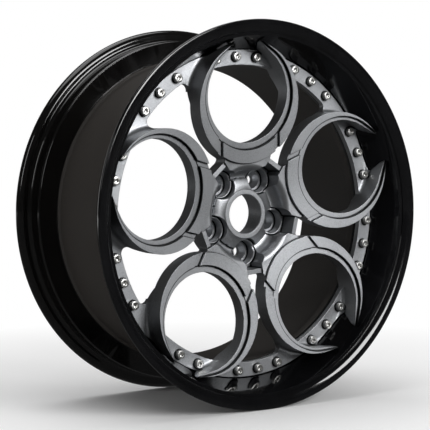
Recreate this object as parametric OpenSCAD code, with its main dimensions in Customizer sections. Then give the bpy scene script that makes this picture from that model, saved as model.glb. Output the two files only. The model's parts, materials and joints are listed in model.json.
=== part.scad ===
// Split rim wheel: an outer lip and an inner barrel, bolted together through the
// rim of a one-piece centre that carries five open crescents.
// The axle runs along Y, the face looks toward -Y and +Z is up. The origin is
// the middle of the wheel. All lengths are millimetres.
// Each piece is drawn with the axle along Z and its face up, then laid over once.

/* [Rim] */
// Diameter of the tyre bead seat where it meets the flange
bead_seat_d = 512.8; // [500:0.1:526]
// Width between the two tyre flanges
rim_width = 215.9; // [205:0.1:228]
// Height of a tyre flange over its bead seat
flange_h = 17.5; // [15:0.1:20]
// Width that each tyre flange adds outside the bead face
flange_w = 11.9; // [11.5:0.1:14]
// Radius of the rolled edge of the tyre flange
flange_roll_r = 9.5; // [8:0.1:10.5]
// Radius between the bead seat and the tyre flange
bead_fillet_r = 6.5; // [3:0.1:7]
// Width of the bead seat before its safety hump
bead_seat_w = 19.8; // [19:0.1:22]
// Angle of the bead seat
bead_seat_angle = 5; // [4:0.1:6]
// Radius of the safety hump
hump_r = 5; // [4:0.1:7]
// Height of the safety hump over the end of the bead seat
hump_h = 1.5; // [0.8:0.1:2.2]

/* [Outer lip] */
// Thickness of the lip at its dish
lip_wall = 6; // [5:0.1:7]
// Depth of the small turned step between the flange face and the dish
dish_step = 2.6; // [1.5:0.1:4]
// Width of that step
dish_step_w = 4.9; // [3.5:0.1:6]
// Width of the flat on top of the flange
flange_flat_w = 2.5; // [0.5:0.1:4]
// Width of the rounded flange face inside that flat
flange_face_w = 12.5; // [10:0.1:13.5]
// Radius of the rounded flange face
flange_face_r = 16; // [15:0.1:20]
// Thickness of the lip's bolting flange
lip_flange_t = 6; // [5:0.1:8]
// Free space round the centre inside the lip
dish_gap = 1.7; // [1:0.1:3]

/* [Inner barrel] */
// Outside diameter of the drop centre
well_d = 449; // [440:0.5:456]
// Thickness of the barrel wall
barrel_wall = 6; // [5:0.1:7]
// Distance from the inner end of the drop centre to the safety hump
well_step = 4; // [3:0.5:12]
// Thickness of the tapped ring that takes the bolts
tapped_ring_t = 12; // [11:0.5:16]
// Width of the tapped ring outside its holes
ring_edge = 3.5; // [2:0.1:4]
// Length of the slopes behind the tapped ring
ring_slope = 5; // [4:0.5:8]

/* [Bolted joint] */
// Distance from the middle of the wheel to the seat of the centre on the lip
seat_h = 56; // [50:0.5:60]
// Diameter of the bolt circle
bolt_circle_d = 448.8; // [446:0.1:451]
// Free space between the outer washers of an opening and its wall
bolt_clear = 0.7; // [0.4:0.1:1.5]
// Diameter of the bolt shank
bolt_d = 7; // [6:0.1:8]
// Diameter of the bolt head
bolt_head_d = 12; // [10:0.1:13]
// Height of the bolt head
bolt_head_h = 6.8; // [5:0.1:8]
// Width across the flats of the hexagon socket
bolt_socket = 5; // [4:0.1:6]
// Depth of the hexagon socket
bolt_socket_depth = 3.5; // [2:0.1:4.5]
// Length of the shank in the tapped ring
bolt_engage = 8.5; // [6:0.5:9]
// Diameter of the washer under each head
washer_d = 14; // [13.2:0.1:14.6]
// Thickness of that washer
washer_t = 1.2; // [0.8:0.1:2]
// Width of the sealant bead over the joint
sealant_w = 5; // [3:0.1:6]

/* [Centre] */
// Number of crescents and of wheel bolts
arms = 5; // [5]
// Turn of the centre from straight up, clockwise
clock = -5; // [-36:1:36]
// Radius of a crescent's outer circle
crescent_r = 85.6; // [83:0.1:87.5]
// Distance by which that circle runs past the edge of the bolting flange
crescent_past = 10.2; // [8:0.1:12]
// Width of a crescent toward the hub, where it is widest
crescent_w = 28.9; // [26:0.1:31]
// Width between its outer circle and its opening on the far side
crescent_tip_w = 4.1; // [3:0.1:5]
// Height of the face over the middle of the wheel, at the crescent's middle
face_h = 91.1; // [89:0.1:93]
// Slope of the face, which rises toward the lip
face_slope = 6.84; // [6:0.01:7.6]
// Thickness of the crescents
crescent_t = 25; // [20:0.5:28]
// Height of the raised panels over the band round each opening
panel_step = 4.5; // [2:0.1:6]
// Width of the raised panel toward the hub
panel_w = 19.2; // [17:0.1:22]
// Width between a crescent's outer circle and the band on the far side
panel_tip_w = 1; // [0.5:0.1:2]
// Angle at which the horns of a crescent leave its outer circle
crescent_horn = 30; // [28:0.5:32]
// Angle at which the horns leave the circle of the opening
window_horn = 42; // [40:0.5:44]
// Angle at which the horns leave the band's outer circle
band_horn = 36; // [34:0.5:38]
// Half the distance between the two straight channels of a crescent
channel_in = 45.5; // [42:0.1:48]
// Width of each straight channel
channel_w = 8; // [5:0.1:10]
// Width of the centre's bolting flange
rim_flange_w = 21; // [20:0.1:23]
// Thickness of the centre's bolting flange
rim_flange_t = 8; // [7:0.1:10]
// Width over which a crescent's underside sweeps down to that flange
skirt_w = 20; // [14:0.5:26]
// Radius between a crescent's walls and the front of that flange
wall_fillet_r = 7; // [4:0.5:8]
// Radius of that flange's corners between two crescents
gap_corner_r = 9; // [5:0.5:11]
// Radius of that flange's corners in an opening
window_corner_r = 6; // [3:0.5:8]

/* [Hub] */
// Distance from the middle of the wheel to the mounting face, toward the front
wheel_offset = 23; // [18:0.5:28]
// Thickness of the hub
hub_t = 40; // [38:0.5:43]
// Diameter of the mounting face
pad_d = 148; // [142:1:154]
// Height of the mounting pad behind the spokes
pad_h = 20; // [16:0.5:22]
// Diameter of the open bore in the face
face_bore_d = 55.6; // [50:0.1:58]
// Length of that bore
face_bore_t = 8; // [5:0.5:12]
// Diameter of the bore that centres the wheel on its hub
hub_bore_d = 66.6; // [60:0.1:68]
// Width of the raised ring round the bore
bore_ring_w = 7; // [5:0.1:7.4]
// Height of that ring over the plate
bore_ring_h = 1.5; // [0.5:0.1:3]
// Radius of the five-lobed plate
plate_r = 51; // [48:0.1:53]
// Depth by which the plate slopes outward
plate_drop = 4.6; // [2:0.1:6]
// Height of the plate's rim over the valley round it
plate_edge_h = 7; // [4:0.1:9]
// Radius of the small notch in each lobe
notch_r = 2.2; // [1:0.1:3]
// Distance from the axle to the inner wall of the stems
stem_foot_r = 63.3; // [61:0.1:66]
// Radius of the hollow at the foot of a stem
saddle_r = 12; // [8:0.1:14]
// Radius of the rounding at the top of a stem
stem_round_r = 10; // [6:0.1:11]
// Distance from the axle to the outer face of the webs
web_r = 86; // [84:0.1:88]
// Thickness of the webs
web_t = 6.5; // [4:0.1:8]
// Height of the webs under the stems beside them
web_drop = 2.3; // [1:0.1:5]
// Half the width of the gap between two stems
stem_gap = 13.5; // [11:0.1:15]
// Radius of the corners between a web and its crescents
web_corner_r = 6; // [3:0.5:8]

/* [Wheel bolt holes] */
// Diameter of the wheel bolt circle
lug_circle_d = 112; // [110:0.1:113]
// Diameter of a wheel bolt hole
lug_hole_d = 15.2; // [13:0.1:16.5]
// Diameter of the well over a wheel bolt hole
lug_well_d = 33.6; // [30:0.1:34.6]
// Thickness of the collar round a well
collar_wall = 2.1; // [1.5:0.1:2.4]
// Depth of the collar's rim under the bore ring
collar_drop = 10.5; // [8:0.5:14]
// Width of the groove round a collar
collar_gap = 2; // [1:0.1:2.2]
// Depth of the groove under the collar's rim
groove_depth = 4; // [2:0.5:8]
// Height of the well's floor over the mounting face
lug_floor_h = 15; // [12:0.5:18]
// Large diameter of the conical seat
lug_seat_d = 25; // [22:0.1:28]
// Full angle of the conical seat
lug_seat_angle = 60; // [58:1:70]

/* [Valve hole] */
// Place of the valve hole round the lip, clockwise from straight up
valve_at = 264; // [255:1:275]
// Height of the valve hole over the seat of the centre
valve_h = 20; // [18:0.5:22]
// Diameter of the valve hole
valve_hole_d = 8.3; // [8:0.1:9]
// Diameter of the flats round the valve hole
valve_flat_d = 16; // [14:0.5:17]
// Thickness of the lip between those flats
valve_wall = 5; // [4:0.1:6]

/* [Hidden] */
$fn = 96;
over = 1;
hole_gap = 0.3;
washer_gap = 0.3;
thread_gap = 0.05;
// Depth by which a rounding or a straight side sinks into the faces that it joins
bite = 0.06;
arm_step = 360 / arms;
// Distance of the bolts from the middle of the bolting flange
bolt_shift = 0.6;
// Height of the dish's foot over the bolting flange
dish_rise = 3;
// Depth of the dish under the bead seat, over the wall's thickness
dish_inset = 3;
// Depth of the spot that the valve's flats are faced to, on each side of the dish
valve_land = 0.4;
// Depth of the tapped holes under the ends of the bolts
drill_tip = 1.5;
// Depth of the spot faces under the washers
spot_depth = 0.3;
// Width of the lip's back that stays free outside the sealant
lip_heel = 2;
// Length that cuts clear of the face
tall = 60;
// Width of the edges broken at the bores, the plate and the bolt heads
edge_break = 1.2;

// Tyre side of the rim
seat_r = bead_seat_d / 2;
rim_r = seat_r + flange_h;
bead_z = rim_width / 2;
rim_z = bead_z + flange_w;
seat_end_r = seat_r - bead_seat_w * tan(bead_seat_angle);
seat_end_z = bead_z - bead_seat_w;
hump_half = sqrt(hump_r * hump_r - (hump_r - hump_h) * (hump_r - hump_h));
hump_z = seat_end_z - hump_half;
hump_back_z = hump_z - hump_half;
roll_centre = [rim_r - flange_roll_r, bead_z + flange_roll_r];
bead_centre = [
    seat_r - bead_fillet_r * tan(bead_seat_angle) + bead_fillet_r / cos(bead_seat_angle),
    bead_z - bead_fillet_r
];
bead_touch = bead_centre - bead_fillet_r * [cos(bead_seat_angle), -sin(bead_seat_angle)];

// Air side of the flange, whose outer edge is rounded as far as its rolled side
flange_edge_r = flange_w - flange_roll_r;
face_out_r = rim_r - flange_edge_r - flange_flat_w;
face_in_r = face_out_r - flange_face_w;
face_in_z = rim_z - flange_face_r + sqrt(flange_face_r * flange_face_r - flange_face_w * flange_face_w);
dish_top_r = face_in_r - dish_step_w;
dish_top_z = face_in_z - dish_step;

// Joint between the lip, the centre and the barrel
bolt_r = bolt_circle_d / 2;
disc_r = bolt_r + rim_flange_w / 2 - bolt_shift;
disc_in_r = disc_r - rim_flange_w;
disc_front_z = seat_h + rim_flange_t;
dish_foot_r = disc_r + dish_gap;
dish_foot_z = disc_front_z + dish_rise;
dish_mid_r = seat_end_r - lip_wall - dish_inset;
dish_slope = (dish_mid_r - dish_foot_r) / (seat_end_z - dish_foot_z);
dish_top_slope = (dish_top_r - dish_mid_r) / (dish_top_z - seat_end_z);
lip_skin = (lip_wall + valve_land) * sqrt(1 + dish_slope * dish_slope);
lip_back_z = seat_h - lip_flange_t;
lip_out_r = dish_foot_r + lip_wall;
well_r = well_d / 2;
well_in_r = well_r - barrel_wall;
well_back_z = hump_back_z - well_step;
ring_out_r = bolt_r + bolt_d / 2 + ring_edge;
ring_back_z = lip_back_z - tapped_ring_t;
lip_back_r = ring_out_r + sealant_w + lip_heel;

// Radius of the dish wall at a height, and the largest radius of the centre there
function dish_wall_r(z) = z < seat_end_z
    ? dish_foot_r + dish_slope * (z - dish_foot_z)
    : dish_mid_r + dish_top_slope * (z - seat_end_z);
function disc_limit_r(z) = dish_wall_r(z) - dish_gap;

// Circles of a crescent: its opening, and the band round the opening
crescent_pitch = disc_r + crescent_past - crescent_r;
window_r = crescent_r - (crescent_w + crescent_tip_w) / 2;
window_pitch = crescent_pitch + (crescent_w - crescent_tip_w) / 2;
band_r = crescent_r - (panel_w + panel_tip_w) / 2;
band_pitch = crescent_pitch + (panel_w - panel_tip_w) / 2;

// Height of the crescents' face, and of the band under it, at a radius
function face_z(r) = face_h + (r - crescent_pitch) * tan(face_slope);
function band_z(r) = face_z(r) - panel_step;

// Hub heights and radii
hub_top_z = wheel_offset + hub_t;
plate_in_z = hub_top_z - bore_ring_h;
plate_out_z = plate_in_z - plate_drop;
valley_z = plate_out_z - plate_edge_h;
bore_ring_r = face_bore_d / 2 + bore_ring_w;
stem_top_r = stem_foot_r + stem_round_r;
pad_top_z = wheel_offset + pad_h;
lug_r = lug_circle_d / 2;
collar_r = lug_well_d / 2 + collar_wall;
collar_z = hub_top_z - collar_drop;
groove_r = collar_r + collar_gap;
groove_z = collar_z - groove_depth;
lug_floor_z = wheel_offset + lug_floor_h;
lug_cone_h = (lug_seat_d - lug_hole_d) / 2 / tan(lug_seat_angle / 2);
web_z = band_z(web_r - web_t / 2) - web_drop;

// Bolts: three in each opening of a crescent and three in each gap between crescents.
// The outer two of an opening stand in its corners.
bolt_reach = window_r - washer_d / 2 - bolt_clear;
bolt_step = acos((window_pitch * window_pitch + bolt_r * bolt_r - bolt_reach * bolt_reach)
    / (2 * window_pitch * bolt_r));
washer_seat_z = disc_front_z - spot_depth;
washer_z = washer_seat_z + washer_t;
bolt_end_z = lip_back_z - bolt_engage;
bolt_angles = [for (k = [0:arms - 1]) for (s = [-1, 0, 1])
    for (middle = [0, arm_step / 2])
        k * arm_step + middle + s * bolt_step];

// Turns its children from the wheel's drawing frame into the model's frame
module stand() {
    rotate([90, 0, 0])
        children();
}

// Turns its children with the centre, which is drawn with a crescent straight up
module with_centre() {
    rotate([0, 0, -clock])
        children();
}

// Repeats its children at every crescent, drawn toward +Y
module at_crescents() {
    for (k = [0:arms - 1])
        rotate([0, 0, -k * arm_step])
            children();
}

// Repeats its children at every wheel bolt hole, drawn toward +Y
module at_lugs() {
    for (k = [0:arms - 1])
        rotate([0, 0, -(k + 0.5) * arm_step])
            children();
}

// Repeats its children at every rim bolt, which stands on +Z at the origin
module at_bolts() {
    for (a = bolt_angles)
        rotate([0, 0, -a])
            translate([0, bolt_r, 0])
                children();
}

// Moves its children to the valve hole, with +Z out of the dish
module at_valve() {
    z = seat_h + valve_h;
    rotate([0, 0, -valve_at])
        translate([0, dish_wall_r(z), z])
            rotate([90 - atan(dish_slope), 0, 0])
                translate([0, 0, -valve_land])
                    children();
}

// Tyre flange and bead seat, down to the foot of the safety hump, turned from bar
module bead_ring(wall_r) {
    difference() {
        rotate_extrude($fn = 180)
            polygon([
                [face_out_r, rim_z],
                [rim_r - flange_edge_r, rim_z],
                [rim_r - flange_edge_r, roll_centre[1] - 2],
                [roll_centre[0], bead_z],
                [bead_centre[0], bead_z],
                bead_touch,
                [seat_end_r, seat_end_z],
                [seat_end_r - 0.3, hump_back_z],
                [wall_r, hump_back_z + 4],
                [wall_r, seat_end_z],
                [dish_top_r, dish_top_z],
                [face_in_r, dish_top_z + 0.5],
                [face_in_r, face_in_z]
            ]);
        rotate_extrude($fn = 180)
            translate(bead_centre)
                circle(bead_fillet_r);
    }
    rotate_extrude($fn = 180)
        intersection() {
            translate(roll_centre)
                circle(flange_roll_r);
            translate([roll_centre[0] - 1, bead_z])
                square([flange_roll_r + 1, flange_roll_r]);
        }
    rotate_extrude($fn = 180)
        intersection() {
            translate([face_out_r, rim_z - flange_face_r])
                circle(flange_face_r, $fn = 144);
            translate([face_in_r, face_in_z - 1])
                square([flange_face_w, flange_face_r]);
        }
    rotate_extrude($fn = 180)
        translate([rim_r - flange_edge_r, rim_z - flange_edge_r])
            circle(flange_edge_r);
    rotate_extrude($fn = 180)
        intersection() {
            translate([seat_end_r + hump_h - hump_r, hump_z])
                circle(hump_r);
            translate([seat_end_r - 1, hump_back_z - 1])
                square([hump_h + 1, seat_end_z - hump_back_z + 2]);
        }
}

// Outer half of the rim: tyre flange, bead seat, stepped dish and bolting flange
module outer_lip() {
    skin_z = hump_back_z - 5;
    color([0.05, 0.05, 0.055])
        stand()
            difference() {
                union() {
                    bead_ring(dish_mid_r);
                    rotate_extrude($fn = 180)
                        polygon([
                            [dish_mid_r, seat_end_z + 0.5],
                            [seat_end_r - 1, seat_end_z],
                            [seat_end_r - 0.3, hump_back_z],
                            [dish_wall_r(skin_z) + lip_skin, skin_z],
                            [lip_out_r, dish_foot_z - 4],
                            [lip_back_r, lip_back_z],
                            [disc_in_r, lip_back_z],
                            [disc_in_r, seat_h],
                            [dish_foot_r, seat_h],
                            [dish_foot_r, dish_foot_z],
                            [dish_mid_r, seat_end_z]
                        ]);
                }
                with_centre()
                    at_bolts()
                        translate([0, 0, lip_back_z - over])
                            cylinder(d = bolt_d + 2 * hole_gap, h = lip_flange_t + 2 * over, $fn = 24);
                at_valve() {
                    translate([0, 0, -valve_wall - over])
                        cylinder(d = valve_hole_d, h = valve_wall + 2 * over, $fn = 32);
                    cylinder(d = valve_flat_d, h = 6, $fn = 48);
                    translate([0, 0, -valve_wall - 12])
                        cylinder(d = valve_flat_d, h = 12, $fn = 48);
                }
            }
}

// Inner half of the rim: tapped ring, drop centre, bead seat and tyre flange
module inner_barrel() {
    rear_in_r = seat_end_r - barrel_wall - 1;
    tap_depth = bolt_engage + drill_tip;
    color([0.06, 0.06, 0.062])
        stand()
            difference() {
                rotate([180, 0, 0]) {
                    bead_ring(rear_in_r);
                    rotate_extrude($fn = 180)
                        polygon([
                            [rear_in_r, seat_end_z + 0.5],
                            [seat_end_r - 1, seat_end_z],
                            [seat_end_r - 0.3, hump_back_z],
                            [well_r + 4, well_back_z + 3],
                            [well_r, well_back_z - 1],
                            [well_r, ring_slope - ring_back_z],
                            [ring_out_r, -ring_back_z],
                            [ring_out_r, -lip_back_z],
                            [disc_in_r, -lip_back_z],
                            [disc_in_r, -ring_back_z],
                            [well_in_r, ring_slope - ring_back_z],
                            [well_in_r, hump_back_z + barrel_wall - 4.5],
                            [well_in_r + 3.5, hump_back_z + barrel_wall - 1],
                            [rear_in_r - 2.5, seat_end_z - 1.5],
                            [rear_in_r, seat_end_z]
                        ]);
                }
                with_centre()
                    at_bolts()
                        translate([0, 0, bolt_end_z - drill_tip])
                            cylinder(d = bolt_d + 2 * thread_gap, h = tap_depth + over, $fn = 24);
            }
}

// Circle whose far side is drawn out to a point by two straight sides
module horned_circle(pitch, r, turn) {
    side_r = r - bite;
    translate([0, pitch]) {
        circle(r, $fn = 144);
        polygon([
            [0, 0],
            [-side_r * sin(turn), side_r * cos(turn)],
            [0, side_r / cos(turn)],
            [side_r * sin(turn), side_r * cos(turn)]
        ]);
    }
}

// Outline of one crescent
module crescent_plan() {
    horned_circle(crescent_pitch, crescent_r, crescent_horn);
}

// Outline of the opening in one crescent
module window_plan() {
    horned_circle(window_pitch, window_r, window_horn);
}

// Outline of the band and the opening that it surrounds
module band_plan() {
    horned_circle(band_pitch, band_r, band_horn);
}

// Rounded corner between the bolting flange and a round wall, outside it or inside it
module ring_corner(pitch, r, corner_r, side) {
    centre_r = disc_in_r - corner_r + bite;
    reach = r + side * (corner_r - bite);
    turn = acos((centre_r * centre_r + pitch * pitch - reach * reach) / (2 * centre_r * pitch));
    sharp = acos((disc_in_r * disc_in_r + pitch * pitch - r * r) / (2 * disc_in_r * pitch));
    centre = centre_r * [sin(turn), cos(turn)];
    difference() {
        polygon([
            (disc_in_r + over) * [sin(sharp), cos(sharp)],
            (disc_in_r + over) * [sin(turn), cos(turn)],
            centre,
            [0, pitch] + (centre - [0, pitch]) * (r - 2 * side) / reach
        ]);
        translate(centre)
            circle(corner_r, $fn = 64);
    }
}

// Rounded corners of the bolting flange at every crescent
module corner_plan() {
    at_crescents()
        for (hand = [0, 1])
            mirror([hand, 0]) {
                ring_corner(crescent_pitch, crescent_r, gap_corner_r, 1);
                ring_corner(window_pitch, window_r, window_corner_r, -1);
            }
}

// Rounded corner between a web and the crescent beside it, drawn about a wheel bolt hole
module web_corner() {
    half = arm_step / 2;
    arm = crescent_pitch * [sin(half), cos(half)];
    rise = arm[1] - web_r - web_corner_r + bite;
    reach = crescent_r + web_corner_r - bite;
    centre = [arm[0] - sqrt(reach * reach - rise * rise), web_r + web_corner_r - bite];
    difference() {
        polygon([
            [centre[0], web_r - over],
            centre,
            arm + (centre - arm) * (crescent_r - over) / reach,
            [centre[0] + web_corner_r + 4, web_r - over]
        ]);
        translate(centre)
            circle(web_corner_r, $fn = 48);
    }
}

// All that the centre covers inside its bolting flange, seen along the axle
module disc_plan() {
    core_r = web_r / cos(arm_step / 2);
    difference() {
        union() {
            at_crescents()
                crescent_plan();
            polygon([for (k = [0:arms - 1])
                core_r * [sin(k * arm_step), cos(k * arm_step)]]);
            at_lugs()
                for (hand = [0, 1])
                    mirror([hand, 0])
                        web_corner();
        }
        at_crescents()
            window_plan();
    }
}

// Three raised panels of one crescent
module panel_plan() {
    difference() {
        crescent_plan();
        band_plan();
        for (hand = [0, 1])
            mirror([hand, 0])
                translate([channel_in, 0])
                    square([channel_w, band_pitch]);
    }
}

// Section of the centre up to the height of the band
module disc_section() {
    top_r = disc_limit_r(band_z(disc_r));
    stem_z = band_z(stem_top_r);
    skirt_out_r = disc_in_r - gap_corner_r;
    skirt_in_r = skirt_out_r - skirt_w;
    back_in_r = web_r + 6;
    difference() {
        polygon([
            [face_bore_d / 2 - 3, wheel_offset],
            [pad_d / 2, wheel_offset],
            [pad_d / 2, pad_top_z],
            [back_in_r, face_z(back_in_r) - crescent_t],
            [skirt_in_r, face_z(skirt_in_r) - crescent_t],
            [skirt_out_r, seat_h],
            [disc_r, seat_h],
            [disc_r, disc_front_z],
            [disc_limit_r(disc_front_z + 6), disc_front_z + 6],
            [disc_limit_r(seat_end_z), seat_end_z],
            [top_r, band_z(top_r)],
            [stem_top_r, stem_z],
            [stem_foot_r, stem_z],
            [stem_foot_r, valley_z],
            [plate_r, valley_z],
            [plate_r, plate_out_z - edge_break],
            [plate_r - edge_break, plate_out_z],
            [bore_ring_r + bore_ring_h, plate_in_z],
            [bore_ring_r, hub_top_z],
            [face_bore_d / 2 - 3, hub_top_z]
        ]);
        difference() {
            translate([stem_foot_r - over, stem_z - stem_round_r])
                square([stem_round_r + over, stem_round_r + over]);
            translate([stem_foot_r + stem_round_r - bite, stem_z - stem_round_r + bite])
                circle(stem_round_r);
        }
    }
}

// Turned body of the centre with a small notch in each lobe of the plate
module notched_body() {
    difference() {
        rotate_extrude($fn = 180)
            disc_section();
        at_crescents()
            translate([0, plate_r + notch_r / 2, valley_z])
                cylinder(r = notch_r, h = hub_t, $fn = 32);
    }
}

// Section of the hollow at the foot of the stems
module saddle_section() {
    difference() {
        translate([stem_foot_r - saddle_r, valley_z - over])
            square([saddle_r + over, saddle_r + over]);
        translate([stem_foot_r - saddle_r + bite, valley_z + saddle_r - bite])
            circle(saddle_r);
    }
}

// Section of the raised panels, which reach a little into the body under them
module panel_section() {
    top_r = disc_limit_r(face_z(disc_r));
    foot_r = disc_limit_r(band_z(disc_r));
    polygon([
        [stem_top_r - over, band_z(stem_top_r) - over],
        [stem_top_r - over, face_z(stem_top_r)],
        [top_r, face_z(top_r)],
        [foot_r, band_z(foot_r)],
        [foot_r - 1, band_z(foot_r) - over]
    ]);
}

// Hollow rounding along a crescent's wall, outside it or inside it
module wall_fillet(pitch, wall_r, side) {
    translate([0, pitch, disc_front_z])
        rotate_extrude($fn = 144)
            difference() {
                translate([side > 0 ? wall_r - 2 : wall_r - wall_fillet_r, -1])
                    square([wall_fillet_r + 2, wall_fillet_r + 1]);
                translate([wall_r + side * (wall_fillet_r - bite), wall_fillet_r - bite])
                    circle(wall_fillet_r, $fn = 48);
            }
}

// Bolting flange of the centre, rounded into the walls of the crescents
module bolting_flange() {
    translate([0, 0, seat_h])
        linear_extrude(rim_flange_t) {
            difference() {
                circle(disc_r, $fn = 180);
                circle(disc_in_r, $fn = 180);
            }
            corner_plan();
        }
    intersection() {
        translate([0, 0, seat_h])
            linear_extrude(rim_flange_t + wall_fillet_r) {
                difference() {
                    circle(disc_r, $fn = 180);
                    circle(disc_in_r, $fn = 180);
                }
                corner_plan();
            }
        at_crescents() {
            wall_fillet(crescent_pitch, crescent_r, 1);
            wall_fillet(window_pitch, window_r, -1);
        }
    }
}

// Open pocket round a wheel bolt hole, from its groove out to the web
module lug_pocket() {
    difference() {
        translate([0, 0, groove_z])
            linear_extrude(tall) {
                translate([0, lug_r])
                    circle(groove_r);
                translate([-stem_gap, lug_r])
                    square([2 * stem_gap, web_r - web_t - lug_r]);
            }
        translate([0, lug_r, groove_z - over])
            cylinder(r = collar_r, h = collar_z - groove_z + over);
    }
    translate([-stem_gap, web_r - web_t - over, web_z])
        cube([2 * stem_gap, web_t + web_corner_r + over, tall]);
}

// Well, conical seat and hole for one wheel bolt
module lug_bore() {
    translate([0, lug_r, 0]) {
        translate([0, 0, lug_floor_z])
            cylinder(d = lug_well_d, h = tall);
        translate([0, 0, collar_z - collar_wall / 2])
            cylinder(r1 = lug_well_d / 2, r2 = collar_r, h = collar_wall);
        translate([0, 0, lug_floor_z - lug_cone_h])
            cylinder(d1 = lug_hole_d, d2 = lug_seat_d, h = lug_cone_h + 0.01);
        translate([0, 0, wheel_offset - over])
            cylinder(d = lug_hole_d, h = lug_floor_h + over);
    }
}

// Bores along the axle: the open one in the face, and the one that fits the hub
module centre_bore() {
    translate([0, 0, wheel_offset - over])
        cylinder(d = hub_bore_d, h = hub_t - face_bore_t + over);
    translate([0, 0, wheel_offset - over])
        cylinder(d1 = hub_bore_d + 2 * (edge_break + over), d2 = hub_bore_d, h = edge_break + over);
    cylinder(d = face_bore_d, h = hub_top_z + over);
    translate([0, 0, hub_top_z - edge_break])
        cylinder(d1 = face_bore_d, d2 = face_bore_d + 2 * (edge_break + over), h = edge_break + over);
}

// Seats and holes of the cap screws in the centre
module bolt_seats() {
    at_bolts() {
        translate([0, 0, seat_h - over])
            cylinder(d = bolt_d + 2 * hole_gap, h = rim_flange_t + 2 * over, $fn = 24);
        translate([0, 0, washer_seat_z])
            cylinder(d = washer_d + 2 * washer_gap, h = tall, $fn = 48);
    }
}

// One-piece centre: hub, five stems, five crescents and the bolting flange
module centre_disc() {
    color([0.42, 0.43, 0.44])
        stand()
            with_centre()
                difference() {
                    union() {
                        intersection() {
                            union() {
                                notched_body();
                                rotate_extrude($fn = 180)
                                    saddle_section();
                            }
                            linear_extrude(rim_z)
                                disc_plan();
                        }
                        intersection() {
                            rotate_extrude($fn = 180)
                                panel_section();
                            linear_extrude(rim_z)
                                at_crescents()
                                    panel_plan();
                        }
                        bolting_flange();
                    }
                    at_lugs() {
                        lug_pocket();
                        lug_bore();
                    }
                    centre_bore();
                    bolt_seats();
                }
}

// Cap screws that clamp the centre and the lip to the tapped ring
module rim_bolts() {
    across = bolt_socket / cos(30) / 2;
    top_d = bolt_head_d - 2 * edge_break;
    color([0.8, 0.8, 0.82])
        stand()
            with_centre()
                at_bolts()
                    difference() {
                        union() {
                            translate([0, 0, bolt_end_z])
                                cylinder(d = bolt_d, h = washer_z - bolt_end_z + over, $fn = 32);
                            translate([0, 0, washer_z])
                                cylinder(d = bolt_head_d, h = bolt_head_h - edge_break, $fn = 48);
                            translate([0, 0, washer_z + bolt_head_h - edge_break])
                                cylinder(d1 = bolt_head_d, d2 = top_d, h = edge_break, $fn = 48);
                        }
                        translate([0, 0, washer_z + bolt_head_h - bolt_socket_depth])
                            linear_extrude(bolt_socket_depth + over)
                                polygon([for (k = [0:5]) across * [cos(60 * k), sin(60 * k)]]);
                    }
}

// Flat washers under the cap screws
module bolt_washers() {
    color([0.3, 0.3, 0.31])
        stand()
            with_centre()
                at_bolts()
                    translate([0, 0, washer_seat_z])
                        difference() {
                            cylinder(d = washer_d, h = washer_t, $fn = 48);
                            translate([0, 0, -over])
                                cylinder(d = bolt_d + 2 * hole_gap, h = washer_t + 2 * over, $fn = 24);
                        }
}

// Bead of sealant in the corner where the lip meets the tapped ring
module rim_sealant() {
    color([0.12, 0.12, 0.12])
        stand()
            rotate_extrude($fn = 180)
                intersection() {
                    translate([ring_out_r, lip_back_z])
                        circle(sealant_w, $fn = 48);
                    translate([ring_out_r, lip_back_z - sealant_w])
                        square([sealant_w, sealant_w]);
                }
}

outer_lip();
inner_barrel();
centre_disc();
rim_bolts();
bolt_washers();
rim_sealant();
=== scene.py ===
import json
import math

import bpy
from mathutils import Matrix, Vector

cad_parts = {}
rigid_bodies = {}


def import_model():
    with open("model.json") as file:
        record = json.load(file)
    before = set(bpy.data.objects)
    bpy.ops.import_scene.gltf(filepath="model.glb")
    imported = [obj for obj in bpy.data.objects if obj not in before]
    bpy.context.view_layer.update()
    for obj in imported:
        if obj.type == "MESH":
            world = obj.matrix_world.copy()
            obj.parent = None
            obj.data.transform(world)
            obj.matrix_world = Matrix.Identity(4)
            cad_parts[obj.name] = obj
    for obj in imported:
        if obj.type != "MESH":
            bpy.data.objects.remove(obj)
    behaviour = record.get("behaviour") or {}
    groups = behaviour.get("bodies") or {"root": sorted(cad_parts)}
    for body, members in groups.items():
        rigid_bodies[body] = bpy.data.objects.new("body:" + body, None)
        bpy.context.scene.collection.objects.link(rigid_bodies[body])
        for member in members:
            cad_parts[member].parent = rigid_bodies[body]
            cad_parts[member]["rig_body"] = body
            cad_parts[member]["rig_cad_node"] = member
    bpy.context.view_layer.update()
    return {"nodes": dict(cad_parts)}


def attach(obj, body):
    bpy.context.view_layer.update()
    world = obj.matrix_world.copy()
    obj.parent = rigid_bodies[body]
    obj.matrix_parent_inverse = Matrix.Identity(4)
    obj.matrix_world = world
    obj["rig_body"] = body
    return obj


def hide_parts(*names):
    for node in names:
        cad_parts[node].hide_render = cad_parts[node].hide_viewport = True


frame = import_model()

# Sizes are real millimetres, as in the part's source. The axle runs along Y and the face
# looks toward -Y. Heights along the axle count from the middle of the wheel toward the face.
MM = 0.001
SEGMENTS = 288
EDGE_W = 0.5

# Tyre flange and bead seat
RIM_R = 273.9
RIM_Z = 119.85
EDGE_R = 2.4
ROLL_R = 9.5
FACE_OUT_R = 269.0
FACE_R = 16
FACE_IN_ANGLE = 141.38
BEAD_Z = 107.95
BEAD_FILLET_R = 6.5
BEAD_FILLET_AT_R = 262.356
SEAT_END_R = 254.668
SEAT_END_Z = 88.15
HUMP_R = 5
HUMP_H = 1.5
HUMP_ANGLE = 45.57
HUMP_BACK_Z = 81.008

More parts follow.
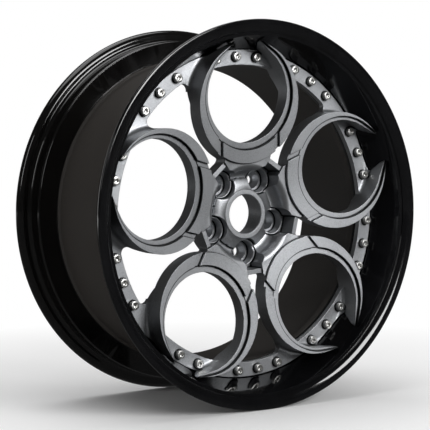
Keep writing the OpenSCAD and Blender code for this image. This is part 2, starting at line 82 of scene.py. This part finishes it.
# Stepped dish of the lip, and the same step behind the rear flange
FACE_IN = (256.5, 111.737)
DISH_TOP = (251.6, 111.237)
DISH_MID_R = 245.668
DISH_FOOT_R = 236.0
DISH_FOOT_Z = 67.0
SEAT_Z = 56.0
LIP_OUT_R = 242.0
LIP_SKIN = (247.155, 76.008)
LIP_BACK_Z = 50.0
LIP_BACK_R = 238.4

# Drop centre and tapped ring of the barrel
WELL_R = 224.5
WELL_IN_R = 218.5
WELL_BACK_Z = 77.008
RING_OUT_R = 231.4
RING_BACK_Z = 38.0
RING_SLOPE = 5
REAR_IN_R = 247.668
REAR_FLOOR_Z = 86.008

# Joint of lip, centre and barrel
BOLT_R = 224.4
CLOCK = -5
ARMS = 5
ARM_STEP = 72
BOLT_STEP = 9.018
DISC_IN_R = 213.3
WASHER_Z = 64.9
SCREW_END_Z = 41.5

# Band round the opening of a crescent
BAND_R = 75.5
BAND_PITCH = 168.0
BAND_HORN = 36

# Valve hole through the dish, and the flats faced on both sides of its wall
VALVE_AT = 264
VALVE_Z = 76.0
VALVE_HOLE_R = 4.15
VALVE_FLAT_R = 8.0
VALVE_FLAT_DEPTH = 0.4
VALVE_WALL = 5
VALVE_REACH = 12


# Modelling

def clear_selection():
    """Leaves object mode and deselects everything."""
    if bpy.context.object and bpy.context.object.mode != "OBJECT":
        bpy.ops.object.mode_set(mode="OBJECT")
    bpy.ops.object.select_all(action="DESELECT")


def take(piece):
    """Makes piece the only selected and the active object."""
    clear_selection()
    piece.select_set(True)
    bpy.context.view_layer.objects.active = piece


def settle(piece):
    """Puts the piece's place into its mesh, so that its object stands at the origin."""
    take(piece)
    bpy.ops.object.transform_apply(location=True, rotation=True, scale=True)


def finish_with(piece, kind, **settings):
    """Adds a modifier with its settings and applies it."""
    take(piece)
    modifier = piece.modifiers.new(kind.title(), kind)
    for name, value in settings.items():
        setattr(modifier, name, value)
    bpy.ops.object.modifier_apply(modifier=modifier.name)


def soften(piece, width, segments, angle):
    """Rounds the piece's edges that are sharper than the angle."""
    finish_with(piece, "BEVEL", width=width * MM, segments=segments, limit_method="ANGLE",
                angle_limit=math.radians(angle))


def smooth(piece, angle):
    """Shades the piece smooth, apart from edges sharper than the angle."""
    take(piece)
    bpy.ops.object.shade_smooth_by_angle(angle=math.radians(angle))


def arc(centre, r, start, end, steps):
    """Points of an arc in the turning profile, both ends included."""
    points = []
    for k in range(steps + 1):
        a = math.radians(start + (end - start) * k / steps)
        points.append((centre[0] + r * math.cos(a), centre[1] + r * math.sin(a)))
    return points


def turned(name, profile, side=1):
    """Turns a closed profile of (radius, height) round the axle, ring by ring."""
    clear_selection()
    r, z = profile[0]
    bpy.ops.mesh.primitive_circle_add(
        vertices=SEGMENTS, radius=r * MM, fill_type="NOTHING",
        location=(0, -side * z * MM, 0), rotation=(math.pi / 2, 0, 0))
    piece = bpy.context.object
    piece.name = name
    settle(piece)
    bpy.ops.object.mode_set(mode="EDIT")
    bpy.ops.mesh.select_mode(type="EDGE")
    bpy.ops.mesh.select_all(action="SELECT")
    for next_r, next_z in profile[1:] + profile[:1]:
        bpy.ops.mesh.extrude_region_move()
        if abs(next_r - r) > 1e-6:
            bpy.ops.transform.resize(value=(next_r / r, 1, next_r / r), center_override=(0, 0, 0))
        if abs(next_z - z) > 1e-6:
            bpy.ops.transform.translate(value=(0, -side * (next_z - z) * MM, 0))
        r, z = next_r, next_z
    bpy.ops.mesh.select_all(action="SELECT")
    bpy.ops.mesh.remove_doubles(threshold=1e-6)
    bpy.ops.mesh.normals_make_consistent(inside=False)
    bpy.ops.object.mode_set(mode="OBJECT")
    return piece


def flange_and_seat():
    """Profile from the flange's face over its rolled edge down to the bead seat's hump."""
    edge = arc((RIM_R - EDGE_R, RIM_Z - EDGE_R), EDGE_R, 90, 0, 6)
    roll = arc((RIM_R - ROLL_R, RIM_Z - EDGE_R), ROLL_R, 0, -90, 14)
    fillet = arc((BEAD_FILLET_AT_R, BEAD_Z - BEAD_FILLET_R), BEAD_FILLET_R, 90, 175, 10)
    hump_middle = (SEAT_END_R + HUMP_H - HUMP_R, (SEAT_END_Z + HUMP_BACK_Z) / 2)
    hump = arc(hump_middle, HUMP_R, HUMP_ANGLE, -HUMP_ANGLE, 8)
    return [(FACE_OUT_R, RIM_Z)] + edge + roll[1:] + fillet + hump


def flange_face():
    """Profile from the dish's small turned step back up to the flange's face."""
    face = arc((FACE_OUT_R, RIM_Z - FACE_R), FACE_R, FACE_IN_ANGLE, 90, 10)
    return [DISH_TOP, FACE_IN] + face[:-1]


def cut(piece, cutter):
    """Cuts the cutter out of the piece and removes the cutter."""
    finish_with(piece, "BOOLEAN", operation="DIFFERENCE", object=cutter, solver="EXACT")
    bpy.data.objects.remove(cutter)


def bar(radius, length, middle, turn=(math.pi / 2, 0, 0), vertices=48):
    """A straight bar round its middle, along the axle unless it is turned another way."""
    clear_selection()
    bpy.ops.mesh.primitive_cylinder_add(
        vertices=vertices, radius=radius * MM, depth=length * MM,
        location=[c * MM for c in middle], rotation=turn)
    piece = bpy.context.object
    settle(piece)
    return piece


# Finishes

def colour(code):
    """Linear colour of an sRGB hex value."""
    parts = [int(code[k:k + 2], 16) / 255 for k in (1, 3, 5)]
    return [p / 12.92 if p <= 0.04045 else ((p + 0.055) / 1.055) ** 2.4 for p in parts] + [1]


def add(tree, kind, values=None, links=None, **settings):
    """Adds a node with its settings, its values and its links."""
    n = tree.nodes.new(kind)
    for name, value in settings.items():
        setattr(n, name, value)
    for name, value in (values or {}).items():
        n.inputs[name].default_value = value
    for name, source in (links or {}).items():
        tree.links.new(source, n.inputs[name])
    return n


def blank(name):
    """A new material, empty but for the place in Object coordinates."""
    finish = bpy.data.materials.new(name)
    finish.use_nodes = True
    tree = finish.node_tree
    tree.nodes.clear()
    place = add(tree, "ShaderNodeTexCoord").outputs["Object"]
    return finish, tree, place


def shown_by(tree, shader):
    """Links the shader to the material's output."""
    add(tree, "ShaderNodeOutputMaterial", links={"Surface": shader.outputs[0]})


def gloss_black_lacquer(name, deep, haze, satin=None):
    """Black two-coat lacquer on turned aluminium: deep and wet, with a faint orange peel.

    With a pair of satin colours, the drop centre and the inside of its wall have a thin dry coat.
    """
    finish, tree, place = blank(name)
    # Orange peel of sprayed lacquer is about 2.5 mm across
    peel_noise = add(tree, "ShaderNodeTexNoise", {"Scale": 400.0, "Detail": 1.0}, {"Vector": place})
    bump = add(tree, "ShaderNodeBump", {"Strength": 0.03, "Distance": 0.00006},
               {"Height": peel_noise.outputs[0]})
    # A film of dust and handling, in clouds of some 60 mm
    cloud = add(tree, "ShaderNodeTexNoise", {"Scale": 16.0, "Detail": 5.0, "Roughness": 0.6},
                {"Vector": place})
    tone = add(tree, "ShaderNodeValToRGB", links={"Fac": cloud.outputs[0]})
    tone.color_ramp.elements[0].position = 0.35
    tone.color_ramp.elements[0].color = colour(deep)
    tone.color_ramp.elements[1].position = 0.75
    tone.color_ramp.elements[1].color = colour(haze)
    rough = add(tree, "ShaderNodeMapRange",
                {"From Min": 0.3, "From Max": 0.8, "To Min": 0.07, "To Max": 0.16},
                {"Value": cloud.outputs[0]})
    shader = add(tree, "ShaderNodeBsdfPrincipled",
                 {"Specular IOR Level": 0.4, "Coat Weight": 0.5, "Coat Roughness": 0.03},
                 {"Base Color": tone.outputs[0], "Roughness": rough.outputs[0], "Normal": bump.outputs[0]})
    if satin:
        axes = add(tree, "ShaderNodeSeparateXYZ", links={0: place})
        flat = add(tree, "ShaderNodeCombineXYZ", links={0: axes.outputs[0], 2: axes.outputs[2]})
        radius = add(tree, "ShaderNodeVectorMath", links={0: flat.outputs[0]}, operation="LENGTH")
        # The thin coat covers all within 3 mm of the drop centre's radius, and all inside it
        well = add(tree, "ShaderNodeMath", {1: (WELL_R + 3) * MM}, {0: radius.outputs["Value"]},
                   operation="LESS_THAN")
        # Grain of the dry overspray, about 1 mm across
        grain = add(tree, "ShaderNodeTexNoise", {"Scale": 900.0, "Detail": 2.0}, {"Vector": place})
        shade = add(tree, "ShaderNodeValToRGB", links={"Fac": grain.outputs[0]})
        shade.color_ramp.elements[0].position = 0.3
        shade.color_ramp.elements[0].color = colour(satin[0])
        shade.color_ramp.elements[1].position = 0.7
        shade.color_ramp.elements[1].color = colour(satin[1])
        thin = add(tree, "ShaderNodeBsdfPrincipled", {"Specular IOR Level": 0.2, "Roughness": 0.5},
                   {"Base Color": shade.outputs[0]})
        shader = add(tree, "ShaderNodeMixShader",
                     links={0: well.outputs[0], 1: shader.outputs[0], 2: thin.outputs[0]})
    shown_by(tree, shader)
    return finish


def panel_edge_shade_line(tree, place):
    """Painted shade line: 1 away from the edge between the raised panels and the band, and near 0 on it,
    where it darkens the paint.

    The band's outline is a circle round each crescent's opening, with two straight sides to its tip.
    """
    axes = add(tree, "ShaderNodeSeparateXYZ", links={0: place})
    made = {"x": axes.outputs[0], "z": axes.outputs[2]}
    half = math.radians(ARM_STEP / 2)
    horn = math.radians(BAND_HORN)
    steps = (
        # Place in the sector of the nearest crescent
        ("angle", "ARCTAN2", "x", "z"),
        ("from first arm", "SUBTRACT", "angle", math.radians(CLOCK)),
        ("folded", "WRAP", "from first arm", half, -half),
        ("x squared", "MULTIPLY", "x", "x"),
        ("z squared", "MULTIPLY", "z", "z"),
        ("radius squared", "ADD", "x squared", "z squared"),
        ("radius", "SQRT", "radius squared"),
        ("sine", "SINE", "folded"),
        ("signed aside", "MULTIPLY", "radius", "sine"),
        ("aside", "ABSOLUTE", "signed aside"),
        ("cosine", "COSINE", "folded"),
        ("height", "MULTIPLY", "radius", "cosine"),
        ("out", "SUBTRACT", "height", BAND_PITCH * MM),
        # Distance from the band's middle, measured square to its straight sides near the tip
        ("aside squared", "MULTIPLY", "aside", "aside"),
        ("out squared", "MULTIPLY", "out", "out"),
        ("round squared", "ADD", "aside squared", "out squared"),
        ("round", "SQRT", "round squared"),
        ("aside share", "MULTIPLY", "aside", math.sin(horn)),
        ("out share", "MULTIPLY", "out", math.cos(horn)),
        ("straight", "ADD", "aside share", "out share"),
        ("tip left", "MULTIPLY", "aside", math.cos(horn)),
        ("tip right", "MULTIPLY", "out", math.sin(horn)),
        ("at tip", "LESS_THAN", "tip left", "tip right"),
        ("off tip", "SUBTRACT", 1.0, "at tip"),
        ("straight part", "MULTIPLY", "at tip", "straight"),
        ("round part", "MULTIPLY", "off tip", "round"),
        ("outline", "ADD", "straight part", "round part"),
        ("past edge", "SUBTRACT", "outline", BAND_R * MM),
        ("off edge", "ABSOLUTE", "past edge"),
    )
    for name, operation, *terms in steps:
        values = {k: term for k, term in enumerate(terms) if not isinstance(term, str)}
        links = {k: made[term] for k, term in enumerate(terms) if isinstance(term, str)}
        made[name] = add(tree, "ShaderNodeMath", values, links, operation=operation).outputs[0]
    return add(tree, "ShaderNodeMapRange",
               {"From Min": 0.0006, "From Max": 0.0012, "To Min": 0.04, "To Max": 1.0},
               {"Value": made["off edge"]}).outputs[0]


def satin_graphite_paint(name):
    """Graphite wheel paint with aluminium flake under a satin clear coat: soft sheen, fine sparkle, and
    painted shade in its corners and along the panel edges.
    """
    finish, tree, place = blank(name)
    # Flakes are under 0.1 mm; they are drawn about 0.8 mm across so that they show
    flake = add(tree, "ShaderNodeTexVoronoi", {"Scale": 1250.0}, {"Vector": place}, feature="F1")
    grey = add(tree, "ShaderNodeSeparateColor", links={"Color": flake.outputs["Color"]})
    # Slow change of tone where the spray passes overlap, some 50 mm wide
    pass_noise = add(tree, "ShaderNodeTexNoise", {"Scale": 20.0, "Detail": 2.0}, {"Vector": place})
    blend = add(tree, "ShaderNodeMath", {1: 0.75}, {0: grey.outputs[0]}, operation="MULTIPLY")
    both = add(tree, "ShaderNodeMath", links={0: blend.outputs[0], 1: pass_noise.outputs[0]}, operation="ADD")
    tone = add(tree, "ShaderNodeValToRGB", links={"Fac": both.outputs[0]})
    tone.color_ramp.elements[0].position = 0.3
    tone.color_ramp.elements[0].color = colour("#919396")
    tone.color_ramp.elements[1].position = 1.3 / 1.5
    tone.color_ramp.elements[1].color = colour("#b4b6b9")
    # Painted shade: the paint colour is darkened in the corners under the panels and round the seats
    painted_corner_shade = add(tree, "ShaderNodeAmbientOcclusion", {"Distance": 0.003}, samples=8)
    # Painted shade factor: near 0 deep in a corner, 1 in the open
    thin = add(tree, "ShaderNodeMapRange",
               {"From Min": 0.68, "From Max": 0.94, "To Min": 0.03, "To Max": 1.0},
               {"Value": painted_corner_shade.outputs["AO"]})
    # Painted shade: the darker of the corner shade and the shade line along the panel edges
    dark = add(tree, "ShaderNodeMath", links={0: thin.outputs[0], 1: panel_edge_shade_line(tree, place)},
               operation="MINIMUM")
    shaded = add(tree, "ShaderNodeVectorMath", links={0: tone.outputs[0], "Scale": dark.outputs[0]},
                 operation="SCALE")
    rough = add(tree, "ShaderNodeMapRange", {"To Min": 0.43, "To Max": 0.51}, {"Value": grey.outputs[1]})
    bump = add(tree, "ShaderNodeBump", {"Strength": 0.12, "Distance": 0.00005}, {"Height": grey.outputs[2]})
    rounded = add(tree, "ShaderNodeBevel", {"Radius": 0.0009}, {"Normal": bump.outputs[0]}, samples=6)
    shader = add(tree, "ShaderNodeBsdfPrincipled",
                 {"Metallic": 1.0, "Coat Weight": 0.1, "Coat Roughness": 0.3},
                 {"Base Color": shaded.outputs[0], "Roughness": rough.outputs[0],
                  "Normal": rounded.outputs[0]})
    shown_by(tree, shader)
    return finish


def zinc_plated_steel(name):
    """Bright zinc plating on the cap screws: pale metal, slightly mottled in tone and sheen."""
    finish, tree, place = blank(name)
    # Mottle of the plating, about 1.5 mm across
    mottle = add(tree, "ShaderNodeTexNoise", {"Scale": 700.0, "Detail": 3.0}, {"Vector": place})
    tone = add(tree, "ShaderNodeValToRGB", links={"Fac": mottle.outputs[0]})
    tone.color_ramp.elements[0].position = 0.3
    tone.color_ramp.elements[0].color = colour("#b4b3b0")
    tone.color_ramp.elements[1].position = 0.7
    tone.color_ramp.elements[1].color = colour("#dcdcda")
    rough = add(tree, "ShaderNodeMapRange", {"To Min": 0.2, "To Max": 0.42}, {"Value": mottle.outputs[0]})
    bump = add(tree, "ShaderNodeBump", {"Strength": 0.2, "Distance": 0.00004}, {"Height": mottle.outputs[0]})
    shader = add(tree, "ShaderNodeBsdfPrincipled", {"Metallic": 1.0},
                 {"Base Color": tone.outputs[0], "Roughness": rough.outputs[0], "Normal": bump.outputs[0]})
    shown_by(tree, shader)
    return finish


def dark_mottled_skin(name, dark, light, rough_from, rough_to, metallic):
    """A dark skin with an uneven tone and sheen, in patches about 2 mm across."""
    finish, tree, place = blank(name)
    mottle = add(tree, "ShaderNodeTexNoise", {"Scale": 500.0, "Detail": 4.0}, {"Vector": place})
    tone = add(tree, "ShaderNodeValToRGB", links={"Fac": mottle.outputs[0]})
    tone.color_ramp.elements[0].position = 0.3
    tone.color_ramp.elements[0].color = colour(dark)
    tone.color_ramp.elements[1].position = 0.75
    tone.color_ramp.elements[1].color = colour(light)
    rough = add(tree, "ShaderNodeMapRange", {"To Min": rough_from, "To Max": rough_to},
                {"Value": mottle.outputs[0]})
    bump = add(tree, "ShaderNodeBump", {"Strength": 0.3, "Distance": 0.00005}, {"Height": mottle.outputs[0]})
    shader = add(tree, "ShaderNodeBsdfPrincipled", {"Metallic": metallic},
                 {"Base Color": tone.outputs[0], "Roughness": rough.outputs[0], "Normal": bump.outputs[0]})
    shown_by(tree, shader)
    return finish


def black_oxide_steel(name):
    """Black oxide on the steel washers: near black, with a dull metal sheen."""
    return dark_mottled_skin(name, "#121213", "#262627", 0.35, 0.55, 0.6)


def cured_sealant(name):
    """Cured rim sealant, smoothed by hand: a soft, near-black rubber skin."""
    return dark_mottled_skin(name, "#141414", "#222222", 0.45, 0.65, 0.0)


lip_lacquer = gloss_black_lacquer("lip_black_lacquer", "#050506", "#0c0c0e")
barrel_lacquer = gloss_black_lacquer("barrel_black_lacquer", "#070606", "#0e0d0c",
                                     satin=("#33302e", "#3d3a37"))
graphite = satin_graphite_paint("centre_graphite_paint")
zinc = zinc_plated_steel("screw_bright_zinc")
washer_oxide = black_oxide_steel("washer_black_oxide")
sealant_skin = cured_sealant("joint_sealant")


def paint(piece, finish):
    """Gives the whole piece one finish."""
    if not piece.material_slots:
        piece.data.materials.append(finish)
    for s in piece.material_slots:
        s.material = finish


# Outer lip

lip_profile = flange_and_seat() + [
    (SEAT_END_R - 0.3, HUMP_BACK_Z),
    LIP_SKIN,
    (LIP_OUT_R, DISH_FOOT_Z - 4),
    (LIP_BACK_R, LIP_BACK_Z),
    (DISC_IN_R, LIP_BACK_Z),
    (DISC_IN_R, SEAT_Z),
    (DISH_FOOT_R, SEAT_Z),
    (DISH_FOOT_R, DISH_FOOT_Z),
    (DISH_MID_R, SEAT_END_Z),
] + flange_face()
lip = turned("outer_lip_turned", lip_profile)

# The valve hole goes square through the sloping dish, between two round flats
valve_turn = math.radians(VALVE_AT)
valve_tilt = math.atan2(DISH_MID_R - DISH_FOOT_R, SEAT_END_Z - DISH_FOOT_Z)
valve_r = DISH_FOOT_R + (VALVE_Z - DISH_FOOT_Z) * math.tan(valve_tilt)
valve_out = Vector((math.cos(valve_tilt) * math.sin(valve_turn), math.sin(valve_tilt),
                    math.cos(valve_tilt) * math.cos(valve_turn)))
dish_wall = Vector((valve_r * math.sin(valve_turn), -VALVE_Z, valve_r * math.cos(valve_turn)))
outer_flat = VALVE_FLAT_DEPTH + VALVE_WALL
for radius, start, end in ((VALVE_HOLE_R, -VALVE_REACH / 3, VALVE_REACH),
                           (VALVE_FLAT_R, -VALVE_REACH / 2, VALVE_FLAT_DEPTH),
                           (VALVE_FLAT_R, outer_flat, outer_flat + VALVE_REACH)):
    cut(lip, bar(radius, end - start, dish_wall + valve_out * (start + end) / 2,
                 turn=valve_out.to_track_quat("Z", "Y").to_euler()))
soften(lip, EDGE_W, 3, 22)
paint(lip, lip_lacquer)
smooth(lip, 20)
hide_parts("outer_lip")
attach(lip, "root")

# Inner barrel

barrel_profile = flange_and_seat() + [
    (SEAT_END_R - 0.3, HUMP_BACK_Z),
    (WELL_R + 4, WELL_BACK_Z + 3),
    (WELL_R, WELL_BACK_Z - 1),
    (WELL_R, RING_SLOPE - RING_BACK_Z),
    (RING_OUT_R, -RING_BACK_Z),
    (RING_OUT_R, -LIP_BACK_Z),
    (DISC_IN_R, -LIP_BACK_Z),
    (DISC_IN_R, -RING_BACK_Z),
    (WELL_IN_R, RING_SLOPE - RING_BACK_Z),
    (WELL_IN_R, REAR_FLOOR_Z - 3.5),
    (WELL_IN_R + 3.5, REAR_FLOOR_Z),
    (REAR_IN_R - 2.5, SEAT_END_Z - 1.5),
    (REAR_IN_R, SEAT_END_Z),
] + flange_face()
barrel = turned("inner_barrel_turned", barrel_profile, side=-1)
soften(barrel, EDGE_W, 3, 22)
paint(barrel, barrel_lacquer)
smooth(barrel, 20)
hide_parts("inner_barrel")
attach(barrel, "root")

# Centre

# The painted centre keeps the solid's own faces, merged and shaded smooth between its edges
take(frame["nodes"]["centre_disc"])
bpy.ops.object.duplicate(linked=False)
centre = bpy.context.object
centre.name = "centre_painted"
bpy.ops.object.parent_clear(type="CLEAR_KEEP_TRANSFORM")
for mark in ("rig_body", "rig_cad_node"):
    del centre[mark]
bpy.ops.object.mode_set(mode="EDIT")
bpy.ops.mesh.select_all(action="SELECT")
bpy.ops.mesh.customdata_custom_splitnormals_clear()
bpy.ops.mesh.remove_doubles(threshold=2e-6)
bpy.ops.object.mode_set(mode="OBJECT")
paint(centre, graphite)
smooth(centre, 28)
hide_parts("centre_disc")
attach(centre, "root")

# Cap screws

HEAD_R = 6.0
HEAD_H = 6.8
SHANK_R = 3.5
SOCKET_W = 5
SOCKET_DEPTH = 3.5
POINT_H = 1.2
POINT_SHARE = 0.7
HEAD_EDGE_W = 0.35
screw = bar(HEAD_R, HEAD_H, (0, -WASHER_Z - HEAD_H / 2, 0))
take(screw)
bpy.ops.object.mode_set(mode="EDIT")
bpy.ops.mesh.select_mode(type="FACE")
bpy.ops.mesh.select_all(action="DESELECT")
bpy.ops.object.mode_set(mode="OBJECT")
for face in screw.data.polygons:
    face.select = face.normal.y > 0.9
bpy.ops.object.mode_set(mode="EDIT")
bpy.ops.mesh.inset(thickness=(HEAD_R - SHANK_R) * MM)
for length in (WASHER_Z - SCREW_END_Z - POINT_H, POINT_H):
    bpy.ops.mesh.extrude_region_move(TRANSFORM_OT_translate={"value": (0, length * MM, 0)})
bpy.ops.transform.resize(value=(POINT_SHARE, 1, POINT_SHARE), center_override=(0, -SCREW_END_Z * MM, 0))
bpy.ops.object.mode_set(mode="OBJECT")
across_corners = SOCKET_W / math.cos(math.pi / 6)
cut(screw, bar(across_corners / 2, 2 * SOCKET_DEPTH, (0, -(WASHER_Z + HEAD_H), 0), vertices=6))
soften(screw, HEAD_EDGE_W, 2, 40)
paint(screw, zinc)
smooth(screw, 35)

# Three screws in the opening of each crescent, and three in each gap between two crescents
count = 0
for k in range(ARMS):
    for middle in (0, ARM_STEP / 2):
        for s in (-1, 0, 1):
            around = math.radians(CLOCK + k * ARM_STEP + middle + s * BOLT_STEP)
            # Each socket stops at its own angle
            own_turn = math.radians(count * 37.0)
            take(screw)
            bpy.ops.object.duplicate(linked=False)
            copy = bpy.context.object
            copy.matrix_world = (Matrix.Rotation(around, 4, "Y") @ Matrix.Translation((0, 0, BOLT_R * MM))
                                 @ Matrix.Rotation(own_turn, 4, "Y"))
            settle(copy)
            count += 1
            copy.name = "rim_screw_%02d" % count
            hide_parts("rim_bolts")
            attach(copy, "root")
bpy.data.objects.remove(screw)

# Washers and sealant

paint(frame["nodes"]["bolt_washers"], washer_oxide)
paint(frame["nodes"]["rim_sealant"], sealant_skin)

# Floor, light and camera

clear_selection()
# The wheel stands on the floor with its flanges
bpy.ops.mesh.primitive_circle_add(vertices=96, radius=9.0, fill_type="NGON", location=(0, 0, -RIM_R * MM))
floor = bpy.context.object
floor.name = "studio_floor"
settle(floor)
floor_paint, tree, place = blank("white_studio_floor")
# White board near the wheel, which fades into the plain white background further out
reach = add(tree, "ShaderNodeVectorMath", links={0: place}, operation="LENGTH")
far = add(tree, "ShaderNodeMapRange", {"From Min": 0.3, "From Max": 0.95},
          {"Value": reach.outputs["Value"]})
rays = add(tree, "ShaderNodeLightPath")
board = add(tree, "ShaderNodeBsdfPrincipled", {"Base Color": colour("#fbfbfb"), "Roughness": 0.7,
                                               "Specular IOR Level": 0.2})
glow = add(tree, "ShaderNodeEmission", {"Color": (1, 1, 1, 1), "Strength": 1.0})
floor_axes = add(tree, "ShaderNodeSeparateXYZ", links={0: place})
behind = add(tree, "ShaderNodeMapRange", {"From Min": 2.0, "From Max": 4.0},
             {"Value": floor_axes.outputs[1]})
mirrored = add(tree, "ShaderNodeMath", links={0: rays.outputs["Is Glossy Ray"], 1: behind.outputs[0]},
               operation="MULTIPLY")
seen = add(tree, "ShaderNodeMath", links={0: rays.outputs["Is Camera Ray"], 1: mirrored.outputs[0]},
           operation="MAXIMUM")
share = add(tree, "ShaderNodeMath", links={0: seen.outputs[0], 1: far.outputs[0]}, operation="MULTIPLY")
# The studio in front of the wheel is dark, and the lacquer mirrors it
dim = add(tree, "ShaderNodeEmission", {"Color": (1, 1, 1, 1), "Strength": 0.08})
near = add(tree, "ShaderNodeMixShader",
           links={0: rays.outputs["Is Glossy Ray"], 1: board.outputs[0], 2: dim.outputs[0]})
mix = add(tree, "ShaderNodeMixShader", links={0: share.outputs[0], 1: near.outputs[0], 2: glow.outputs[0]})
shown_by(tree, mix)
floor.data.materials.append(floor_paint)

world = bpy.data.worlds.new("white_studio")
bpy.context.scene.world = world
world.use_nodes = True
sky = world.node_tree
sky.nodes.clear()
rays = add(sky, "ShaderNodeLightPath")
# White all round for the camera. Reflections show that white behind the wheel, and a dark
# studio in front of it
direction = add(sky, "ShaderNodeTexCoord").outputs["Generated"]
sky_axes = add(sky, "ShaderNodeSeparateXYZ", links={0: direction})
behind = add(sky, "ShaderNodeMapRange", {"From Min": 0.95, "From Max": 1.0},
             {"Value": sky_axes.outputs[1]})
mirrored = add(sky, "ShaderNodeMath", links={0: rays.outputs["Is Glossy Ray"], 1: behind.outputs[0]},
               operation="MULTIPLY")
seen = add(sky, "ShaderNodeMath", links={0: rays.outputs["Is Camera Ray"], 1: mirrored.outputs[0]},
           operation="MAXIMUM")
seen_all = add(sky, "ShaderNodeMath", links={0: seen.outputs[0], 1: rays.outputs["Is Transmission Ray"]},
               operation="MAXIMUM")
ambient = add(sky, "ShaderNodeBackground", {"Color": (1, 1, 1, 1), "Strength": 0.25})
dark = add(sky, "ShaderNodeBackground", {"Color": (1, 1, 1, 1), "Strength": 0.04})
front = add(sky, "ShaderNodeMixShader",
            links={0: rays.outputs["Is Glossy Ray"], 1: ambient.outputs[0], 2: dark.outputs[0]})
white = add(sky, "ShaderNodeBackground", {"Color": (1, 1, 1, 1), "Strength": 1.0})
all_round = add(sky, "ShaderNodeMixShader",
                links={0: seen_all.outputs[0], 1: front.outputs[0], 2: white.outputs[0]})
add(sky, "ShaderNodeOutputWorld", links={"Surface": all_round.outputs[0]})


def softbox(name, place, size, power):
    """A rectangular soft lamp aimed at the middle of the wheel."""
    lamp = bpy.data.lights.new(name, "AREA")
    lamp.shape = "RECTANGLE"
    lamp.size, lamp.size_y = size
    lamp.energy = power
    box = bpy.data.objects.new(name, lamp)
    bpy.context.scene.collection.objects.link(box)
    box.location = place
    box.rotation_euler = box.location.to_track_quat("Z", "Y").to_euler()


# The key light stands in front, a little to the right; the other two only open the shadows
softbox("front_softbox", (0.6, -2.55, 1.0), (1.1, 1.3), 55)
softbox("top_softbox", (-0.3, 0.4, 2.8), (3.0, 2.2), 45)
softbox("left_softbox", (-2.6, -0.5, 1.1), (0.4, 1.2), 6)

# The photo's camera, solved from the wheel's circles
lens = bpy.data.cameras.new("photo_camera")
lens.sensor_fit = "HORIZONTAL"
lens.sensor_width = 36
lens.lens = 116.462
lens.shift_x = -0.012584
lens.shift_y = -0.00617
lens.clip_end = 50
camera = bpy.data.objects.new("photo_camera", lens)
bpy.context.scene.collection.objects.link(camera)
camera.location = (-1.16840, -1.67680, 0.094079)
camera.rotation_euler = camera.location.to_track_quat("Z", "Y").to_euler()
bpy.context.scene.camera = camera
bpy.context.scene.view_settings.view_transform = "Standard"
